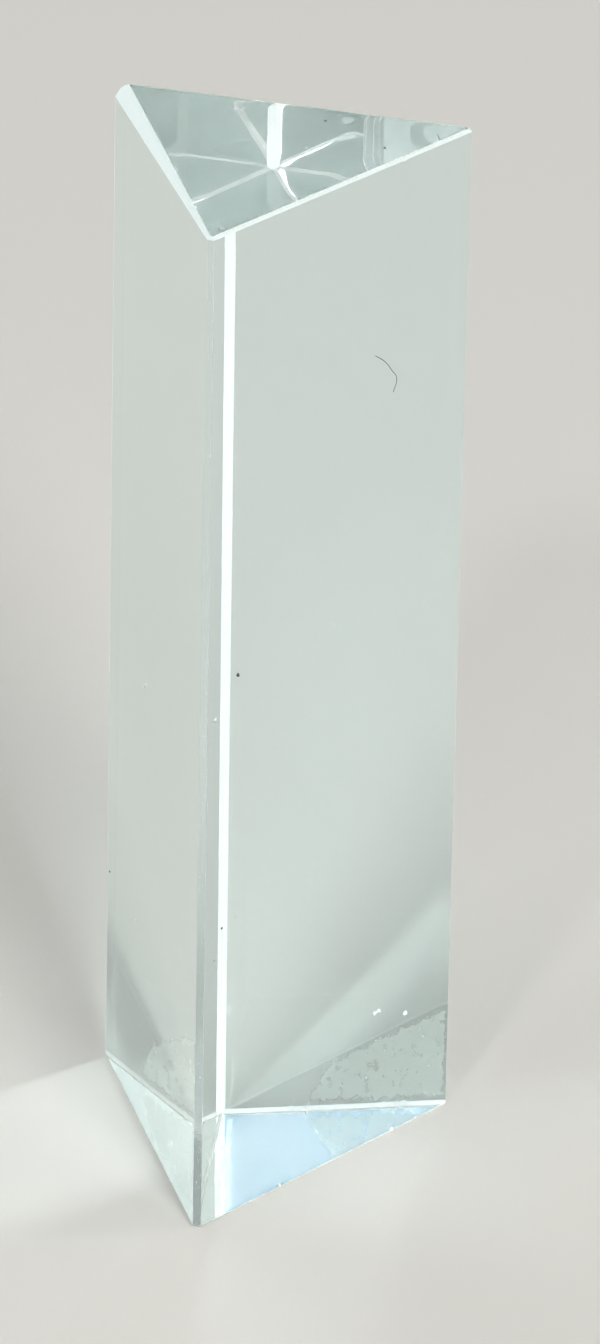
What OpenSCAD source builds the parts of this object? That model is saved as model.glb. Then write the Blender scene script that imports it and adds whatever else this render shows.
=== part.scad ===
// Equilateral glass prism, which bends light and spreads it into its colours.
// One solid block of optical glass, standing on one end. Three polished side faces meet
// at 60 degrees, both ends are polished, and every edge has a narrow ground bevel.
// The bevels were ground by hand, so they differ a little and some widen along their edge.
// Units are millimetres. The origin is the middle of the base end's triangle,
// +Z runs up the prism, and the front edge points to -Y.

/* [Block] */
// Width of a side face, between the sharp corners that the bevels take off
face_w = 25; // [15:0.5:60]
// Length of the prism, from the base end to the top end
prism_l = 75; // [20:1:200]

/* [Front edge] */
// Width of the bevel along the front edge, at the base end
front_base_w = 0.6; // [0.1:0.05:2]
// Width of the bevel along the front edge, at the top end
front_top_w = 0.45; // [0.1:0.05:2]

/* [Right edge] */
// Width of the bevel along the right edge, at the base end
right_base_w = 0.4; // [0.1:0.05:2]
// Width of the bevel along the right edge, at the top end
right_top_w = 0.4; // [0.1:0.05:2]

/* [Left edge] */
// Width of the bevel along the left edge, at the base end
left_base_w = 0.45; // [0.1:0.05:2]
// Width of the bevel along the left edge, at the top end
left_top_w = 0.5; // [0.1:0.05:2]

/* [Ends] */
// How far the bevel round the base end reaches in from the right and left faces
base_reach = 0.15; // [0.05:0.05:1]
// How far the base end's bevel on the back face reaches in
base_back_reach = 0.25; // [0.05:0.05:1]
// How far the bevel round the top end reaches in from the faces
top_reach = 0.2; // [0.05:0.05:1]
// How far the top end's bevel on the left face reaches in at the left corner, where it is widest
top_left_reach = 0.9; // [0.05:0.05:2]

/* [Hidden] */

glass_color = [0.86, 0.95, 0.92, 0.45];

// Half the angle between two side faces, and the lean of the bevels round the ends
half_corner = 30;
end_lean = 45;

// Directions from the axis to the front, right and left edges
corner_angles = [-90, 30, 150];
base_widths = [front_base_w, right_base_w, left_base_w];
top_widths = [front_top_w, right_top_w, left_top_w];

// Reaches of the end bevels on the right, back and left faces, at each face's two corners
base_reaches = [[base_reach, base_reach], [base_back_reach, base_back_reach], [base_reach, base_reach]];
top_reaches = [[top_reach, top_reach], [top_reach, top_reach], [top_left_reach, top_reach]];

// Distance from the axis to a side face, and to a sharp corner
face_r = face_w / 2 * tan(half_corner);
corner_r = face_w / 2 / cos(half_corner);

// Distance from the axis to a long edge's bevel of a given width
function bevel_r(width) = corner_r - width / 2 / tan(half_corner);

// Everything on the +X side of a plane through the origin, which leans to +X as it rises
module beyond_plane(lean) {
    size = 2 * (prism_l + face_w);
    rotate([0, lean, 0])
        translate([0, -size / 2, -size / 2])
            cube(size);
}

module sharp_block() {
    linear_extrude(prism_l)
        polygon([for (a = corner_angles) corner_r * [cos(a), sin(a)]]);
}

// What the grinder takes off a long edge, for a bevel that may widen along it
module off_long_edge(angle, base_w, top_w) {
    base_r = bevel_r(base_w);
    rotate([0, 0, angle])
        translate([base_r, 0, 0])
            beyond_plane(atan((bevel_r(top_w) - base_r) / prism_l));
}

// What comes off where the end at z = 0 meets a long edge's bevel
module off_end_at_corner(angle, width, reach) {
    rotate([0, 0, angle])
        translate([bevel_r(width) - reach, 0, 0])
            beyond_plane(end_lean);
}

// What comes off where the end at z = 0 meets the side face that follows a corner, for a
// bevel that reaches in by first_reach at that corner and by last_reach at the next one
module off_end_at_face(angle, first_reach, last_reach) {
    rotate([0, 0, angle + 2 * half_corner])
        translate([face_r - first_reach, -face_w / 2, 0])
            rotate([0, 0, atan((last_reach - first_reach) / face_w)])
                beyond_plane(end_lean);
}

// All that comes off round the end at z = 0. The reaches at the faces are for the right, the
// back and the left face, each as [at its first corner, at its last corner].
module off_end(widths, corner_reach, face_reaches) {
    for (i = [0:2]) {
        off_end_at_corner(corner_angles[i], widths[i], corner_reach);
        off_end_at_face(corner_angles[i], face_reaches[i][0], face_reaches[i][1]);
    }
}

module glass_prism() {
    color(glass_color)
        difference() {
            sharp_block();
            for (i = [0:2])
                off_long_edge(corner_angles[i], base_widths[i], top_widths[i]);
            off_end(base_widths, base_reach, base_reaches);
            translate([0, 0, prism_l])
                mirror([0, 0, 1])
                    off_end(top_widths, top_reach, top_reaches);
        }
}

glass_prism();
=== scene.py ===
"""Looks for the equilateral glass prism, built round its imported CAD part.

The block keeps the size and place of the CAD part. Its arrises are rounded, its ground bevels
are a little uneven with small nicks, and its polished faces roll off by about a hundredth of a
millimetre towards their edges, as hand-polished faces do. What the eye sees in it is refracted
and reflected by the block itself. The base end has a thin dried film and the back face a water
stain, and a few chips of glass, grains of dust and a lint fibre lie on the block.
"""

import math

import bmesh
import bpy
from bpy.props import FloatProperty, FloatVectorProperty, IntProperty, PointerProperty
from mathutils import Matrix, Vector, noise
from mathutils.geometry import delaunay_2d_cdt


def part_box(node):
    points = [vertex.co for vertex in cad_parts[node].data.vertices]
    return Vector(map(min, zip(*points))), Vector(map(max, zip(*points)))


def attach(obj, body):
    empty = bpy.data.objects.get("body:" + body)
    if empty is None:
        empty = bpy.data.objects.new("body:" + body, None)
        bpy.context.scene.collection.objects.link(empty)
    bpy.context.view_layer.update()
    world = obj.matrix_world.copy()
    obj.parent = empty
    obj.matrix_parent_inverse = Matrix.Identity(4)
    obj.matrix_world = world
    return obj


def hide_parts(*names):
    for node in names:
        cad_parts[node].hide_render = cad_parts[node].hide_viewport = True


bl_info = {
    "name": "Equilateral Glass Prism",
    "version": (1, 1, 0),
    "blender": (4, 5, 0),
    "location": "View3D > Sidebar > Prism",
    "description": "Finishes a solid glass prism and sets it in a plain studio",
    "category": "Object",
}

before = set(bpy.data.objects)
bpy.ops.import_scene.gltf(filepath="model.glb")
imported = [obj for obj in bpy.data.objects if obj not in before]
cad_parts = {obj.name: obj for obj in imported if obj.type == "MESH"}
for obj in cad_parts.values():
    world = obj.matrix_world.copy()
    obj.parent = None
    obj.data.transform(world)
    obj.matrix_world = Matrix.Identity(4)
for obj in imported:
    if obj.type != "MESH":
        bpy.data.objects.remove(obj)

MM = 0.001
CAD_NODE = "glass_prism"
BODY = "root"

# From the frame: how far the side faces lie from the axis, and the length of the block
BLOCK_TOP = Vector(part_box(CAD_NODE)[1])
FACE_R = BLOCK_TOP.y
LENGTH = BLOCK_TOP.z

# Material slots of the block: its polished faces, then its bevels
POLISHED, BASE_END, BACK_FACE, FRONT_BEVEL, SIDE_BEVEL, TOP_BEVEL = range(6)


def linear(hex_colour):
    """Linear RGB of an sRGB hex colour such as 'dfe8e2'."""
    shares = [int(hex_colour[i : i + 2], 16) / 255 for i in (0, 2, 4)]
    return [s / 12.92 if s <= 0.04045 else ((s + 0.055) / 1.055) ** 2.4 for s in shares]


def add(tree, kind, settings=None, **inputs):
    """Adds a node with its settings and inputs. An input that is a socket is linked.

    An input is named as the node names it, with _ for a space, or by its place, such as i0.
    """
    node = tree.nodes.new(kind)
    for name, value in (settings or {}).items():
        setattr(node, name, value)
    for name, value in inputs.items():
        by_place = name[0] == "i" and name[1:].isdigit()
        socket = node.inputs[int(name[1:]) if by_place else name.replace("_", " ")]
        if isinstance(value, bpy.types.NodeSocket):
            tree.links.new(value, socket)
        else:
            socket.default_value = value
    return node


def new_material(name):
    """A material whose nodes are still to be added."""
    material = bpy.data.materials.new(name)
    material.use_nodes = True
    material.node_tree.nodes.clear()
    return material


# Sizes and colours


class GlassSettings(bpy.types.PropertyGroup):
    refraction: FloatProperty(
        name="Refractive index", description="Refractive index of the crown glass",
        default=1.53, min=1.4, max=1.9,
    )
    tint: FloatVectorProperty(
        name="Glass tint", description="Colour of light that has passed through the block",
        subtype="COLOR", default=linear("f2ffff"), min=0, max=1,
    )
    front_grind: FloatProperty(
        name="Front bevel grind", description="Roughness of the finely ground front bevel",
        default=0.22, min=0, max=1, subtype="FACTOR",
    )
    grind: FloatProperty(
        name="Bevel grind", description="Roughness of the other bevels",
        default=0.5, min=0, max=1, subtype="FACTOR",
    )
    base_film: FloatProperty(
        name="Base film", description="Share of the base end that the dried film makes dull",
        default=0.17, min=0, max=1, subtype="FACTOR",
    )
    back_stain: FloatProperty(
        name="Back stain", description="How much the water stain on the back face hides",
        default=0.35, min=0, max=1, subtype="FACTOR",
    )


class EdgeSettings(bpy.types.PropertyGroup):
    rounding: FloatProperty(
        name="Arris rounding", description="How far each arris is rounded",
        unit="LENGTH", default=0.05 * MM, min=0,
    )
    roll_reach: FloatProperty(
        name="Roll-off reach", description="How far from an edge a polished face starts to fall away",
        unit="LENGTH", default=1.2 * MM, min=0,
    )
    roll_drop: FloatProperty(
        name="Roll-off drop", description="How far a polished face has fallen at its edge",
        unit="LENGTH", default=0.008 * MM, min=0,
    )
    waver: FloatProperty(
        name="Bevel waver", description="How far the hand-ground bevels waver",
        unit="LENGTH", default=0.03 * MM, min=0,
    )
    nick: FloatProperty(
        name="Nick depth", description="Depth of the largest nicks along the edges",
        unit="LENGTH", default=0.16 * MM, min=0,
    )
    chip: FloatProperty(
        name="Chip size", description="Size of the loose chips of glass",
        unit="LENGTH", default=0.3 * MM, min=0,
    )
    dust: FloatProperty(
        name="Dust size", description="Size of the grains of dust",
        unit="LENGTH", default=0.24 * MM, min=0,
    )
    fibre: FloatProperty(
        name="Lint width", description="Width of the lint fibre",
        unit="LENGTH", default=0.05 * MM, min=0,
    )
    seed: IntProperty(name="Seed", description="Seed of the nicks and the specks", default=4, min=0)


class StageSettings(bpy.types.PropertyGroup):
    floor: FloatVectorProperty(
        name="Floor", description="Colour of the floor",
        subtype="COLOR", default=linear("dddbd6"), min=0, max=1,
    )
    backdrop: FloatVectorProperty(
        name="Backdrop", description="Colour behind the floor's far edge",
        subtype="COLOR", default=linear("c8c7c2"), min=0, max=1,
    )
    dimness: FloatVectorProperty(
        name="Room", description="Colour of the dim room above the backdrop",
        subtype="COLOR", default=linear("828684"), min=0, max=1,
    )
    fill: FloatVectorProperty(
        name="Fill", description="Even light that the floor gets from all round",
        subtype="COLOR", default=(0.23, 0.23, 0.22), min=0, max=1,
    )
    light_distance: FloatProperty(
        name="Light distance", description="From the prism to every light",
        unit="LENGTH", default=2.5, min=0.5,
    )


# Materials

# How many of the streaks that wiping leaves there are to a metre, across them and along them
STREAKS_ACROSS, STREAKS_ALONG = 360, 56

# Grit marks are about 0.05 mm wide; drawn at 0.15 mm, the smallest that shows
GRIT_MARK, GRIT_DEPTH = 0.15 * MM, 0.02 * MM

# How many lobes a stain has to a millimetre, in its rim and in its patches, and how many
# millimetres wide its soft rim is
STAIN_LOBES, STAIN_RIM = 1.1, 0.2

# Sides of the film on the base end: it stays clear of the back, left and right faces, and of
# the left corner
SLANT = math.cos(math.radians(30))
FILM_SIDES = (
    ((0.0, -1.0, 0.0), 0.7 - FACE_R / MM), ((-SLANT, 0.5, 0.0), 0.9 - FACE_R / MM),
    ((SLANT, 0.5, 0.0), 0.8 - FACE_R / MM), ((1.0, 0.0, 0.0), -9.6),
)

# Sides of the stain on the back face: its tide mark, its left end, its foot and its right end
STAIN_SIDES = (
    ((0.303, 0.0, -0.953), -3.75), ((0.752, 0.0, -0.659), -2.9),
    ((0.0, 0.0, 1.0), 0.6), ((-1.0, 0.0, 0.0), -11.8),
)


def polished_glass(name):
    """Crown glass, lapped and polished: clear, with a faint green tint that comes from iron in it.

    Wiping has left it with very faint streaks, which only take the edge off the gloss. It
    returns the material, its tree and its shader, which a stain can still go over.
    """
    s = bpy.context.scene.prism_glass
    material = new_material(name)
    tree = material.node_tree
    place = add(tree, "ShaderNodeTexCoord")
    streaks = add(
        tree, "ShaderNodeMapping", i0=place.outputs["Object"],
        Rotation=(0.5, 0.3, 0.2), Scale=(STREAKS_ACROSS, STREAKS_ACROSS, STREAKS_ALONG),
    )
    smear = add(tree, "ShaderNodeTexNoise", Vector=streaks.outputs[0], Scale=1.0, Detail=4.0, Roughness=0.6)
    haze = add(
        tree, "ShaderNodeMapRange", {"interpolation_type": "SMOOTHSTEP"}, Value=smear.outputs[0],
        From_Min=0.56, From_Max=0.8, To_Min=0.0, To_Max=0.035,
    )
    shader = add(
        tree, "ShaderNodeBsdfPrincipled", Base_Color=(*s.tint, 1), Roughness=haze.outputs[0],
        IOR=s.refraction, Transmission_Weight=1.0,
    )
    return material, tree, shader


def ground_glass(name, roughness, white, through, tones):
    """Crown glass ground with loose grit: frosted, because its pits and cracks scatter the light.

    white is the share of light that is scattered, and through the part of it that goes on through.
    tones are the colours of its grit marks and of the glass between them.
    """
    s = bpy.context.scene.prism_glass
    material = new_material(name)
    tree = material.node_tree
    place = add(tree, "ShaderNodeTexCoord")
    grit = add(tree, "ShaderNodeTexNoise", Vector=place.outputs["Object"], Scale=1 / GRIT_MARK, Detail=2.0)
    marks, between = (linear(tone) for tone in tones)
    tone = add(
        tree, "ShaderNodeMix", {"data_type": "RGBA"}, i0=grit.outputs[0], i6=(*marks, 1), i7=(*between, 1)
    )
    depth = add(tree, "ShaderNodeBump", Strength=0.3, Distance=GRIT_DEPTH, Height=grit.outputs[0])
    glass = add(
        tree, "ShaderNodeBsdfPrincipled", Base_Color=(*s.tint, 1), Roughness=roughness, IOR=s.refraction,
        Transmission_Weight=1.0, Normal=depth.outputs[0],
    )
    back = add(tree, "ShaderNodeBsdfDiffuse", Color=tone.outputs[2])
    onward = add(tree, "ShaderNodeBsdfTranslucent", Color=tone.outputs[2])
    pits = add(tree, "ShaderNodeMixShader", i0=through, i1=back.outputs[0], i2=onward.outputs[0])
    shader = add(tree, "ShaderNodeMixShader", i0=white, i1=glass.outputs[0], i2=pits.outputs[0])
    add(tree, "ShaderNodeOutputMaterial", Surface=shader.outputs[0])
    return material


def stain_cover(tree, sides, ragged, bare):
    """How much of a dried water stain lies at a point, from 0 to 1.

    Each side of the stain is the direction in from it, and where it starts along that
    direction, in millimetres. ragged is how far its rim strays. The stain is thinner in
    places, down to bare.
    """
    place = add(tree, "ShaderNodeTexCoord")
    mm = add(tree, "ShaderNodeVectorMath", {"operation": "SCALE"}, i0=place.outputs["Object"], Scale=1 / MM)
    nearest = None
    for inward, start in sides:
        along = add(tree, "ShaderNodeVectorMath", {"operation": "DOT_PRODUCT"}, i0=mm.outputs[0], i1=inward)
        gap = add(tree, "ShaderNodeMath", {"operation": "SUBTRACT"}, i0=along.outputs["Value"], i1=start)
        if nearest:
            gap = add(tree, "ShaderNodeMath", {"operation": "MINIMUM"}, i0=nearest, i1=gap.outputs[0])
        nearest = gap.outputs[0]
    waves = add(
        tree, "ShaderNodeTexNoise", Vector=mm.outputs[0], Scale=STAIN_LOBES, Detail=5.0, Roughness=0.62
    )
    stray = add(
        tree, "ShaderNodeMapRange", Value=waves.outputs[0], From_Min=0.25, From_Max=0.75,
        To_Min=-ragged, To_Max=ragged,
    )
    rim = add(tree, "ShaderNodeMath", {"operation": "ADD"}, i0=nearest, i1=stray.outputs[0])
    film = add(tree, "ShaderNodeMapRange", Value=rim.outputs[0], From_Min=0.0, From_Max=STAIN_RIM)
    grains = add(
        tree, "ShaderNodeTexNoise", Vector=mm.outputs[0], Scale=STAIN_LOBES, Detail=6.0, Roughness=0.7
    )
    patches = add(
        tree, "ShaderNodeMapRange", {"interpolation_type": "SMOOTHSTEP"}, Value=grains.outputs[0],
        From_Min=0.37, From_Max=0.45, To_Min=bare, To_Max=1.0,
    )
    cover = add(
        tree, "ShaderNodeMath", {"operation": "MULTIPLY"}, i0=film.outputs[0], i1=patches.outputs[0]
    )
    return cover.outputs[0]


def base_end_glass(name):
    """The polished base end, which stands in the wet when the block is rinsed.

    A thin dried film of water on its middle makes its reflections a little dull, in clouds.
    """
    s = bpy.context.scene.prism_glass
    material, tree, clear = polished_glass(name)
    cover = stain_cover(tree, FILM_SIDES, ragged=1.2, bare=0.2)
    dull = add(
        tree, "ShaderNodeBsdfPrincipled", Base_Color=(*s.tint, 1), Roughness=0.28,
        IOR=s.refraction, Transmission_Weight=1.0,
    )
    share = add(tree, "ShaderNodeMath", {"operation": "MULTIPLY"}, i0=cover, i1=s.base_film)
    shader = add(
        tree, "ShaderNodeMixShader", i0=share.outputs[0], i1=clear.outputs[0], i2=dull.outputs[0]
    )
    add(tree, "ShaderNodeOutputMaterial", Surface=shader.outputs[0])
    return material


def back_face_glass(name):
    """The polished back face, with a white water stain low down.

    Hard water ran down to one corner and dried there, so the stain's tide mark rises to the
    right. Its chalk scatters light both ways.
    """
    s = bpy.context.scene.prism_glass
    material, tree, clear = polished_glass(name)
    cover = stain_cover(tree, STAIN_SIDES, ragged=0.5, bare=0.0)
    white = (*linear("ecf6ee"), 1)
    back = add(tree, "ShaderNodeBsdfDiffuse", Color=white)
    onward = add(tree, "ShaderNodeBsdfTranslucent", Color=white)
    chalk = add(tree, "ShaderNodeMixShader", i0=0.7, i1=back.outputs[0], i2=onward.outputs[0])
    share = add(tree, "ShaderNodeMath", {"operation": "MULTIPLY"}, i0=cover, i1=s.back_stain)
    shader = add(
        tree, "ShaderNodeMixShader", i0=share.outputs[0], i1=clear.outputs[0], i2=chalk.outputs[0]
    )
    add(tree, "ShaderNodeOutputMaterial", Surface=shader.outputs[0])
    return material


# The block

# A flat of the CAD part that is larger than this is polished, and the others are bevels
POLISHED_AREA = 100 * MM * MM

# Edges longer than these are the lines along the block, and those round its ends
UPRIGHT_LINE, END_LINE = 60 * MM, 10 * MM

# How many cuts divide each of those lines: they come about 0.6 and 0.3 mm apart
UPRIGHT_CUTS, END_CUTS = 119, 79

# Nicks on each line, and on each line round the base end, and their least and greatest radius
NICKS, BASE_NICKS = 1, 3
NICK_RADII = (0.12 * MM, 0.28 * MM)

# Two larger nicks on the back edge of the base end: how far right they are, and their radius
LARGE_NICKS = ((5.2 * MM, 0.4 * MM), (7.4 * MM, 0.5 * MM))

# Radius from which a nick has its full depth, and the length of the bevels' waves
FULL_NICK, WAVE_LENGTH = 0.5 * MM, 2.2 * MM

# The rest of this section measures a face in millimetres, in its own plane.
# Rings of points where it rolls off, as shares of the roll-off's reach, and their spacing
ROLL_RINGS = (0.12, 0.3, 0.52, 0.76, 1.0)
RING_SPACING = 0.9

# A side shorter than this is a corner's bevel, and the face doesn't roll off towards it
SHORT_SIDE = 1.0

# Half the side of a square that is larger than any face
WIDE = 200.0

# Which triangles a face is filled with: 1 is those inside its rim. Points nearer than this are one
INSIDE_RIM, SAME_POINT = 1, 1e-4


def nick_places(lines, seed):
    """Points along the block's lines where a nick has been knocked, each with its radius.

    The base end has stood on tables, so its edges have the most.
    """
    noise.seed_set(seed + 1)
    least, most = NICK_RADII
    places = []
    for a, b in lines:
        count = BASE_NICKS if max(a.z, b.z) < MM else NICKS
        for _ in range(count):
            place = a.lerp(b, noise.random())
            places.append((place, least + (most - least) * noise.random()))
    for x, radius in LARGE_NICKS:
        places.append((Vector((x, FACE_R, 0.0)), radius))
    return places


def unevenness(point, settings, nicks):
    """How far the ground edge stands back at a point: its waver, and any nick there."""
    wave = 0.5 + 0.5 * noise.noise(point / WAVE_LENGTH)
    back = settings.waver * wave
    for place, radius in nicks:
        gap = (point - place).length / radius
        if gap < 1:
            back += settings.nick * (1 - gap * gap) * min(1.0, radius / FULL_NICK)
    return back


def inner_polygon(lines, depth):
    """A convex face's outline moved in by a depth: lines are (point, inward normal) in 2D."""
    outline = [Vector(p) for p in ((-WIDE, -WIDE), (WIDE, -WIDE), (WIDE, WIDE), (-WIDE, WIDE))]
    for point, inward in lines:
        kept = []
        for i, p in enumerate(outline):
            q = outline[(i + 1) % len(outline)]
            dp, dq = ((v - point).dot(inward) - depth for v in (p, q))
            if dp >= 0:
                kept.append(p)
            if (dp < 0) != (dq < 0):
                kept.append(p.lerp(q, dp / (dp - dq)))
        outline = kept
    return outline


def spaced(outline):
    """Points at about even distances round a closed outline, with its corners."""
    points = []
    for i, p in enumerate(outline):
        q = outline[(i + 1) % len(outline)]
        steps = max(1, round((q - p).length / RING_SPACING))
        points += [p.lerp(q, k / steps) for k in range(steps)]
    return points


def long_sides(shape):
    """The sides that a face rolls off towards, each as a point on it and the direction in from it."""
    sides = []
    for i, p in enumerate(shape):
        q = shape[(i + 1) % len(shape)]
        if (q - p).length > SHORT_SIDE:
            along = (q - p).normalized()
            sides.append((p, Vector((-along.y, along.x))))
    return sides


def fill_face(bm, loop, normal, corners, slot, settings, normals):
    """Fills one polished face, flat in its middle and rolling off towards its edges.

    loop is the hole that it fills, and corners are those of the flat that was there. The
    direction that each of its points faces goes into normals.
    """
    origin = corners[0].copy()
    u = (corners[1] - corners[0]).normalized()
    v = normal.cross(u)

    def flat(p):
        return Vector(((p - origin).dot(u) / MM, (p - origin).dot(v) / MM))

    sides = long_sides([flat(c) for c in corners])
    reach, drop = settings.roll_reach / MM, settings.roll_drop / MM
    points = [flat(vert.co) for vert in loop]
    rim = list(range(len(points)))
    limits = []
    for share in ROLL_RINGS:
        ring = spaced(inner_polygon(sides, share * reach))
        start = len(points)
        points += ring
        limits += [(start + k, start + (k + 1) % len(ring)) for k in range(len(ring))]
    result = delaunay_2d_cdt(points, limits, [rim], INSIDE_RIM, SAME_POINT)
    placed, triangles, origins = result[0], result[2], result[3]
    verts = []
    for p, source in zip(placed, origins):
        rims = [k for k in source if k < len(rim)]
        vert = loop[rims[0]] if rims else bm.verts.new(origin + (u * p.x + v * p.y) * MM)
        fall, tilt = 0.0, Vector((0, 0))
        for point, inward in sides:
            gap = max(0.0, (p - point).dot(inward))
            if gap < reach:
                fall += drop * (1 - gap / reach) ** 2
                tilt -= inward * (2 * drop / reach * (1 - gap / reach))
        vert.co -= normal * (fall * MM)
        normals[vert] = (normal + u * tilt.x + v * tilt.y).normalized()
        verts.append(vert)
    for triangle in triangles:
        ends = [verts[k] for k in triangle]
        if len(set(ends)) == 3:
            face = bm.faces.new(ends)
            face.material_index = slot


def bevel_slot(normal):
    """The finish of a bevel, from the way it faces. Those round the base end are as at the sides."""
    upright = abs(normal.z) < 0.2
    if upright and normal.y < -0.9:
        return FRONT_BEVEL
    if upright and abs(normal.x) > 0.5 or normal.z < -0.3:
        return SIDE_BEVEL
    return TOP_BEVEL


def flat_slot(face):
    """The finish of one of the CAD part's flats, from its size and the way it faces."""
    if face.calc_area() < POLISHED_AREA:
        return bevel_slot(face.normal)
    if face.normal.z < -0.5:
        return BASE_END
    return BACK_FACE if face.normal.y > 0.5 else POLISHED


def face_round(loop, outlines):
    """The polished flat that a loop goes round. The loop is turned to go round it anticlockwise."""

    def gap(outline):
        normal, corners, slot = outline
        return sum(abs((v.co - corners[0]).dot(normal)) for v in loop)

    outline = min(outlines, key=gap)
    arms = [v.co - loop[0].co for v in loop]
    turn = sum(a.cross(b).dot(outline[0]) for a, b in zip(arms, arms[1:] + arms[:1]))
    if turn < 0:
        loop.reverse()
    return outline


def wear_edges(bm, rims, nicks, settings):
    """Moves the rims of the faces, and the bevels between them, back by their unevenness."""
    moves = {}
    for loop, normal, *_ in rims:
        for i, vert in enumerate(loop):
            along = (loop[(i + 1) % len(loop)].co - loop[i - 1].co).normalized()
            moves[vert] = normal.cross(along) * unevenness(vert.co, settings, nicks)
    for vert in bm.verts:
        if vert not in moves:
            moves[vert] = -vert.normal * unevenness(vert.co, settings, nicks)
    for vert, move in moves.items():
        vert.co += move


def block_mesh():
    """The block as one closed mesh with its slots set, made from a copy of the CAD part's mesh."""
    settings = bpy.context.scene.prism_edges
    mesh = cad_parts[CAD_NODE].data.copy()
    mesh.materials.clear()
    bm = bmesh.new()
    bm.from_mesh(mesh)
    bmesh.ops.remove_doubles(bm, verts=bm.verts, dist=0.001 * MM)
    bmesh.ops.dissolve_limit(bm, angle_limit=math.radians(1.0), verts=bm.verts, edges=bm.edges)
    long_edges = [e for e in bm.edges if e.calc_length() > END_LINE]
    lines = [tuple(vert.co.copy() for vert in edge.verts) for edge in long_edges]
    flat = bm.faces.layers.int.new("flat")
    for face in bm.faces:
        face[flat] = 1
        face.material_index = flat_slot(face)
    rounded = bmesh.ops.bevel(
        bm, geom=bm.edges[:], offset=settings.rounding, offset_type="OFFSET", segments=2, profile=0.5,
        affect="EDGES", clamp_overlap=True, material=TOP_BEVEL,
    )
    bm.normal_update()
    for face in rounded["faces"]:
        face[flat] = 0
        face.material_index = bevel_slot(face.normal)

    # Each polished face is taken out, so that the strips round it can be divided, then filled again
    polished = [f for f in bm.faces if f.material_index in (POLISHED, BASE_END, BACK_FACE)]
    outlines = [(f.normal.copy(), [v.co.copy() for v in f.verts], f.material_index) for f in polished]
    bmesh.ops.delete(bm, geom=polished, context="FACES_ONLY")
    upright = [e for e in bm.edges if e.calc_length() > UPRIGHT_LINE]
    lying = [e for e in bm.edges if END_LINE < e.calc_length() < UPRIGHT_LINE]
    bmesh.ops.subdivide_edges(bm, edges=upright, cuts=UPRIGHT_CUTS)
    bmesh.ops.subdivide_edges(bm, edges=lying, cuts=END_CUTS)

    rims = [(loop, *face_round(loop, outlines)) for loop in open_loops(bm)]
    nicks = nick_places(lines, settings.seed)
    bm.normal_update()
    wear_edges(bm, rims, nicks, settings)

    # The bevels are ground flat, so their corners keep the face's own direction
    normals = {}
    for face in bm.faces:
        if face[flat]:
            normals.update((vert, face.normal.copy()) for vert in face.verts)
    for loop, normal, corners, slot in rims:
        fill_face(bm, loop, normal, corners, slot, settings, normals)
    bmesh.ops.recalc_face_normals(bm, faces=bm.faces)
    bm.normal_update()
    for face in bm.faces:
        face.smooth = True
    bm.verts.index_update()
    by_index = [normals.get(v, v.normal).copy() for v in bm.verts]
    bm.to_mesh(mesh)
    bm.free()
    mesh.normals_split_custom_set_from_vertices(by_index)
    return mesh


def open_loops(bm):
    """The closed loops of vertices round the holes of a mesh."""
    onward = {}
    for edge in bm.edges:
        if len(edge.link_faces) == 1:
            for vert in edge.verts:
                onward.setdefault(vert, []).append(edge)
    loops, seen = [], set()
    for start in onward:
        if start in seen:
            continue
        loop, vert, last = [start], start, None
        seen.add(start)
        while True:
            edge = next(e for e in onward[vert] if e is not last)
            vert, last = edge.other_vert(vert), edge
            if vert is start:
                break
            seen.add(vert)
            loop.append(vert)
        loops.append(loop)
    return loops


class PRISM_OT_block(bpy.types.Operator):
    """Makes the polished and ground block of glass, in the CAD part's place"""

    bl_idname = "prism.block"
    bl_label = "Glass block"

    def execute(self, context):
        s = context.scene.prism_glass
        mesh = block_mesh()
        block = bpy.data.objects.new("glass_block", mesh)
        context.scene.collection.objects.link(block)
        clear, tree, shader = polished_glass("polished_crown_glass")
        add(tree, "ShaderNodeOutputMaterial", Surface=shader.outputs[0])
        green, white = ("e2f3f2", "f8ffff"), ("f6fafa", "ffffff")
        # In the order of the slots. The front bevel is ground finest, so it stays nearly clear
        materials = (
            clear,
            base_end_glass("polished_base_end"),
            back_face_glass("polished_back_face"),
            ground_glass("finely_ground_front_bevel", s.front_grind, white=0.1, through=0.5, tones=green),
            ground_glass("ground_side_bevels", s.grind, white=0.85, through=0.85, tones=white),
            ground_glass("ground_top_bevels", s.grind, white=1.0, through=0.15, tones=green),
        )
        for material in materials:
            mesh.materials.append(material)
        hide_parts(CAD_NODE)
        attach(block, BODY)
        return {"FINISHED"}


# Chips, dust and lint

# Places in millimetres, on the block's faces and edges
CHIPS = (
    (-7.31, -1.77, 34.53), (-8.28, -0.09, 15.24), (8.6, 0.5, 10.29), (8.8, 0.85, 10.33),
    (10.13, 3.11, 9.09), (9.57, 2.17, 0.25), (4.07, -7.27, 0.25), (-3.2, 6.96, 0.25), (6.6, 6.96, 0.25),
)
DUST = ((1.66, -11.56, 41.79), (-11.9, 6.2, 15.1))
FIBRE = (
    (7.9, -0.74, 61.2), (8.4, 0.12, 60.4), (8.7, 0.64, 59.6), (8.95, 1.08, 58.8), (8.8, 0.82, 57.9),
)

# Speckles on a grain are finer than it shows, so they are drawn a third as wide as the grain
SPECKLE = 0.1 * MM


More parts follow.
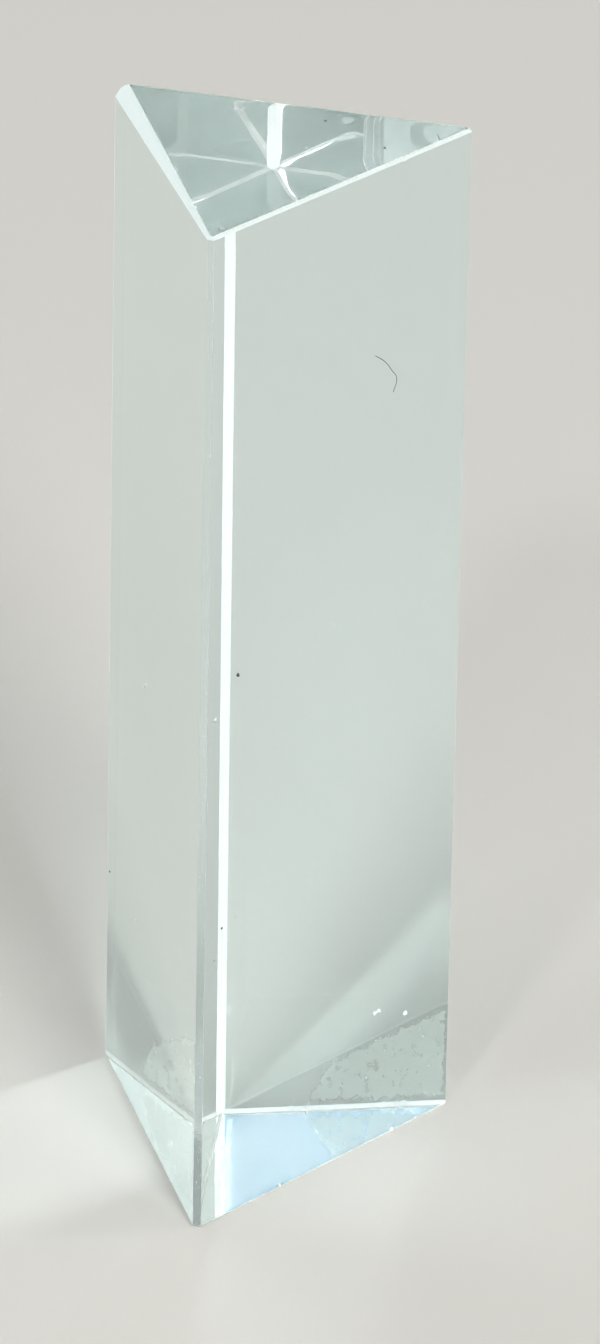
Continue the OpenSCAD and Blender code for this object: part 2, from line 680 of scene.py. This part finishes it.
def grain_tree():
    """Geometry nodes that put a rough grain on every point: its size and its seed are inputs."""
    tree = bpy.data.node_groups.new("grains", "GeometryNodeTree")
    for name, kind in (("Points", "Geometry"), ("Size", "Float"), ("Seed", "Int"), ("Finish", "Material")):
        tree.interface.new_socket(name, in_out="INPUT", socket_type="NodeSocket" + kind)
    tree.interface.new_socket("Grains", in_out="OUTPUT", socket_type="NodeSocketGeometry")
    given = add(tree, "NodeGroupInput")
    points = add(tree, "GeometryNodeMeshToPoints", i0=given.outputs["Points"])
    # Every grain is the same lumpy ball, turned and stretched in its own way
    grain = add(tree, "GeometryNodeMeshIcoSphere", Radius=0.5, Subdivisions=2)
    lumps = add(tree, "ShaderNodeTexNoise", Scale=1.7)
    # Inputs 9 and 10 are the vector form of To Min and To Max
    pushed = add(
        tree, "ShaderNodeMapRange", {"data_type": "FLOAT_VECTOR"}, Vector=lumps.outputs["Color"],
        i9=(-0.45, -0.45, -0.45), i10=(0.45, 0.45, 0.45),
    )
    rough = add(tree, "GeometryNodeSetPosition", Geometry=grain.outputs[0], Offset=pushed.outputs["Vector"])
    turn = add(
        tree, "FunctionNodeRandomValue", {"data_type": "FLOAT_VECTOR"},
        i0=(0.0, 0.0, 0.0), i1=(math.tau, math.tau, math.tau), Seed=given.outputs["Seed"],
    )
    spread = add(
        tree, "FunctionNodeRandomValue", {"data_type": "FLOAT_VECTOR"},
        i0=(0.6, 0.6, 0.6), i1=(1.3, 1.3, 1.3), Seed=given.outputs["Seed"],
    )
    size = add(
        tree, "ShaderNodeVectorMath", {"operation": "SCALE"},
        i0=spread.outputs[0], Scale=given.outputs["Size"],
    )
    placed = add(
        tree, "GeometryNodeInstanceOnPoints", Points=points.outputs[0], Instance=rough.outputs[0],
        Rotation=turn.outputs[0], Scale=size.outputs[0],
    )
    real = add(tree, "GeometryNodeRealizeInstances", i0=placed.outputs[0])
    finished = add(tree, "GeometryNodeSetMaterial", i0=real.outputs[0], Material=given.outputs["Finish"])
    add(tree, "NodeGroupOutput", i0=finished.outputs[0])
    return tree


def grains_at(name, places, size, seed, finish, tree):
    """A piece that is a grain at every place, made by the tree and then turned into a plain mesh."""
    points = bpy.data.meshes.new(name)
    points.from_pydata([Vector(p) * MM for p in places], [], [])
    piece = bpy.data.objects.new(name, points)
    bpy.context.scene.collection.objects.link(piece)
    modifier = piece.modifiers.new("grains", "NODES")
    modifier.node_group = tree
    sockets = {item.name: item.identifier for item in tree.interface.items_tree if item.in_out == "INPUT"}
    for socket, value in (("Size", size), ("Seed", seed), ("Finish", finish)):
        modifier[sockets[socket]] = value
    finished = bpy.data.meshes.new_from_object(piece.evaluated_get(bpy.context.evaluated_depsgraph_get()))
    piece.modifiers.clear()
    piece.data = finished
    for face in finished.polygons:
        face.use_smooth = False
    return piece


def speck_material(name, low, high, roughness):
    """A grain's own colour, mottled between two tones; its rough faces leave it dull."""
    material = new_material(name)
    tree = material.node_tree
    place = add(tree, "ShaderNodeTexCoord")
    mottle = add(tree, "ShaderNodeTexNoise", Vector=place.outputs["Object"], Scale=1 / SPECKLE, Detail=2.0)
    tone = add(
        tree, "ShaderNodeMix", {"data_type": "RGBA"}, i0=mottle.outputs[0],
        i6=(*linear(low), 1), i7=(*linear(high), 1),
    )
    shader = add(tree, "ShaderNodeBsdfPrincipled", Base_Color=tone.outputs[2], Roughness=roughness)
    add(tree, "ShaderNodeOutputMaterial", Surface=shader.outputs[0])
    return material


def lint_fibre(name, width, finish):
    """The lint fibre: a thin round curve through its points, turned into a plain mesh."""
    curve = bpy.data.curves.new(name, "CURVE")
    curve.dimensions = "3D"
    curve.bevel_depth = width / 2
    curve.bevel_resolution = 2
    curve.use_fill_caps = True
    line = curve.splines.new("BEZIER")
    line.resolution_u = 6
    line.bezier_points.add(len(FIBRE) - 1)
    for knot, place in zip(line.bezier_points, FIBRE):
        knot.co = Vector(place) * MM
        knot.handle_left_type = knot.handle_right_type = "AUTO"
    drawn = bpy.data.objects.new("lint_curve", curve)
    bpy.context.scene.collection.objects.link(drawn)
    mesh = bpy.data.meshes.new_from_object(drawn.evaluated_get(bpy.context.evaluated_depsgraph_get()))
    bpy.data.objects.remove(drawn)
    mesh.materials.append(finish)
    piece = bpy.data.objects.new(name, mesh)
    bpy.context.scene.collection.objects.link(piece)
    return piece


class PRISM_OT_specks(bpy.types.Operator):
    """Scatters the few chips of glass, grains of dust and a lint fibre that lie on the block"""

    bl_idname = "prism.specks"
    bl_label = "Chips and dust"

    def execute(self, context):
        s = context.scene.prism_edges
        tree = grain_tree()
        # Crushed glass is white, because each of its broken faces scatters the light
        crushed = speck_material("crushed_glass", "eef6f4", "ffffff", 0.35)
        # House dust is grey-brown lint and skin, and dull
        dust = speck_material("house_dust", "4d4a44", "6b665e", 0.9)
        pieces = (
            lint_fibre("lint_fibre", s.fibre, dust),
            grains_at("glass_chips", CHIPS, s.chip, s.seed, crushed, tree),
            grains_at("dust_grains", DUST, s.dust, s.seed, dust, tree),
        )
        for piece in pieces:
            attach(piece, BODY)
        return {"FINISHED"}


# The stage

# Half the side of the floor, and its height: just under the base end, so that they don't share a plane
FLOOR_REACH, FLOOR_Z = 6.0, -0.05 * MM

# Height of the point that the lights turn to
LIT_Z = 5 * MM

# Each light's name, azimuth, elevation, width and height in degrees, radiance and colour
LIGHTS = (
    ("front_strip", 264.4, 41.2, 6.0, 5.0, 62.0, "fdffff"),
    ("right_strip", 307.8, 37.8, 14.4, 14.4, 25.5, "fffdfb"),
    ("left_strip", 222.5, 40.4, 30.0, 6.0, 8.0, "fffdff"),
    ("back_strip", 21.1, 28.6, 6.0, 10.2, 24.0, "fbffff"),
    ("low_left_strip", 150.0, 5.0, 60.0, 8.0, 16.5, "fdffff"),
    ("right_window", 346.0, 30.0, 30.0, 16.0, 3.1, "ffffff"),
    ("overhead", 300.0, 70.0, 60.0, 30.0, 1.35, "ffffff"),
    ("left_panel", 162.0, 30.0, 24.0, 20.0, 0.8, "b2dcf7"),
    ("left_card", 135.0, 31.0, 28.0, 20.0, 0.55, "fafff6"),
    ("right_panel", 46.0, 31.0, 30.0, 20.0, 0.75, "f6fffb"),
)

# The camera: the way it looks, in degrees, its distance, and how far to the right of the block's
# middle and above it the camera aims
YAW, PITCH, ROLL = -14.20, 28.21, 1.12
CAMERA_DISTANCE = 717 * MM
AIM_RIGHT, AIM_UP = 2.89 * MM, -1.62 * MM

# Its focal length and the picture's height, in the photograph's pixels, and its sensor in mm
FOCAL_PX, PHOTO_H = 10595, 1344
SENSOR = 36.0


def soft_light(name, azimuth, elevation, wide, high, radiance, colour, distance, target):
    """A rectangular soft light, placed by the angles at which the prism sees it, in degrees."""
    lamp = bpy.data.lights.new(name, "AREA")
    lamp.shape = "RECTANGLE"
    lamp.size = 2 * distance * math.tan(math.radians(wide * math.cos(math.radians(elevation)) / 2))
    lamp.size_y = 2 * distance * math.tan(math.radians(high / 2))
    lamp.color = colour
    # A lamp of pi watts per square metre is as bright as white
    lamp.energy = math.pi * radiance * lamp.size * lamp.size_y
    light = bpy.data.objects.new(name, lamp)
    a, e = math.radians(azimuth), math.radians(elevation)
    toward = Vector((math.cos(a) * math.cos(e), math.sin(a) * math.cos(e), math.sin(e)))
    light.location = target + toward * distance
    light.rotation_mode = "QUATERNION"
    light.rotation_quaternion = toward.to_track_quat("Z", "Y")
    light.visible_camera = False
    bpy.context.scene.collection.objects.link(light)


def lay_floor(scene):
    """A plain floor, painted pale and matt."""
    mesh = bpy.data.meshes.new("floor")
    corners = ((-1, -1), (1, -1), (1, 1), (-1, 1))
    mesh.from_pydata([(x * FLOOR_REACH, y * FLOOR_REACH, FLOOR_Z) for x, y in corners], [], [(0, 1, 2, 3)])
    floor = bpy.data.objects.new("floor", mesh)
    scene.collection.objects.link(floor)
    material = new_material("studio_floor")
    tree = material.node_tree
    shader = add(
        tree, "ShaderNodeBsdfPrincipled", Base_Color=(*scene.prism_stage.floor, 1),
        Roughness=0.6, Specular_IOR_Level=0.0,
    )
    add(tree, "ShaderNodeOutputMaterial", Surface=shader.outputs[0])
    mesh.materials.append(material)


def surround(scene):
    """The room round the floor: pale at the height of the backdrop and dimmer above it.

    The camera and the glass see it. What reaches the floor is a plain fill instead.
    """
    s = scene.prism_stage
    world = bpy.data.worlds.new("studio")
    scene.world = world
    world.use_nodes = True
    tree = world.node_tree
    tree.nodes.clear()
    place = add(tree, "ShaderNodeTexCoord")
    height = add(tree, "ShaderNodeSeparateXYZ", i0=place.outputs["Generated"])
    up = add(
        tree, "ShaderNodeMapRange", {"interpolation_type": "SMOOTHSTEP"}, Value=height.outputs[2],
        From_Min=0.12, From_Max=0.38,
    )
    room = add(
        tree, "ShaderNodeMix", {"data_type": "RGBA"}, i0=up.outputs[0],
        i6=(*s.backdrop, 1), i7=(*s.dimness, 1),
    )
    rays = add(tree, "ShaderNodeLightPath")
    seen = rays.outputs["Is Camera Ray"]
    for kind in ("Is Glossy Ray", "Is Transmission Ray"):
        either = add(tree, "ShaderNodeMath", {"operation": "ADD"}, i0=seen, i1=rays.outputs[kind])
        either.use_clamp = True
        seen = either.outputs[0]
    colour = add(
        tree, "ShaderNodeMix", {"data_type": "RGBA"}, i0=seen, i6=(*s.fill, 1), i7=room.outputs[2]
    )
    back = add(tree, "ShaderNodeBackground", Color=colour.outputs[2], Strength=1.0)
    add(tree, "ShaderNodeOutputWorld", Surface=back.outputs[0])


def aim_camera(scene):
    """The camera, at the photograph's viewing angle."""
    data = bpy.data.cameras.new("camera")
    camera = bpy.data.objects.new("camera", data)
    scene.collection.objects.link(camera)
    scene.camera = camera
    yaw, pitch, roll = (math.radians(angle) for angle in (YAW, PITCH, ROLL))
    ahead = Vector((math.sin(yaw) * math.cos(pitch), math.cos(yaw) * math.cos(pitch), -math.sin(pitch)))
    right = Vector((math.cos(yaw), -math.sin(yaw), 0))
    up = right.cross(ahead)
    rolled_right = math.cos(roll) * right + math.sin(roll) * up
    rolled_up = -math.sin(roll) * right + math.cos(roll) * up
    target = right * AIM_RIGHT + Vector((0, 0, LENGTH / 2 + AIM_UP))
    turn = Matrix((rolled_right, rolled_up, -ahead)).transposed()
    camera.matrix_world = Matrix.Translation(target - ahead * CAMERA_DISTANCE) @ turn.to_4x4()
    data.sensor_width = SENSOR
    data.lens = SENSOR * FOCAL_PX / PHOTO_H
    data.clip_start = 0.01


class PRISM_OT_stage(bpy.types.Operator):
    """Lays the floor and sets the lights and the camera"""

    bl_idname = "prism.stage"
    bl_label = "Stage"

    def execute(self, context):
        scene = context.scene
        lay_floor(scene)
        surround(scene)
        target = Vector((0, 0, LIT_Z))
        for *shape, colour in LIGHTS:
            soft_light(*shape, linear(colour), scene.prism_stage.light_distance, target)
        aim_camera(scene)
        scene.view_settings.view_transform = "Standard"
        # Light turns many times in the block, and what it throws on the floor is kept sharp
        scene.cycles.max_bounces = 24
        scene.cycles.glossy_bounces = 20
        scene.cycles.transmission_bounces = 20
        scene.cycles.transparent_max_bounces = 8
        scene.cycles.blur_glossy = 0.0
        scene.cycles.sample_clamp_indirect = 0.0
        return {"FINISHED"}


class PRISM_PT_panel(bpy.types.Panel):
    """Lists the prism's sizes and the buttons that make it"""

    bl_label = "Glass prism"
    bl_idname = "PRISM_PT_panel"
    bl_space_type = "VIEW_3D"
    bl_region_type = "UI"
    bl_category = "Prism"

    def draw(self, context):
        layout = self.layout
        for group in (context.scene.prism_glass, context.scene.prism_edges, context.scene.prism_stage):
            box = layout.box()
            for name in group.__annotations__:
                box.prop(group, name)
        for operator in (PRISM_OT_block, PRISM_OT_specks, PRISM_OT_stage):
            layout.operator(operator.bl_idname)


GROUPS = {"prism_glass": GlassSettings, "prism_edges": EdgeSettings, "prism_stage": StageSettings}
CLASSES = (*GROUPS.values(), PRISM_OT_block, PRISM_OT_specks, PRISM_OT_stage, PRISM_PT_panel)


def register():
    for cls in CLASSES:
        bpy.utils.register_class(cls)
    for name, group in GROUPS.items():
        setattr(bpy.types.Scene, name, PointerProperty(type=group))


def unregister():
    for name in GROUPS:
        delattr(bpy.types.Scene, name)
    for cls in reversed(CLASSES):
        bpy.utils.unregister_class(cls)


def main():
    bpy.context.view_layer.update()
    register()
    bpy.ops.prism.block()
    bpy.ops.prism.specks()
    bpy.ops.prism.stage()


if __name__ == "__main__":
    main()
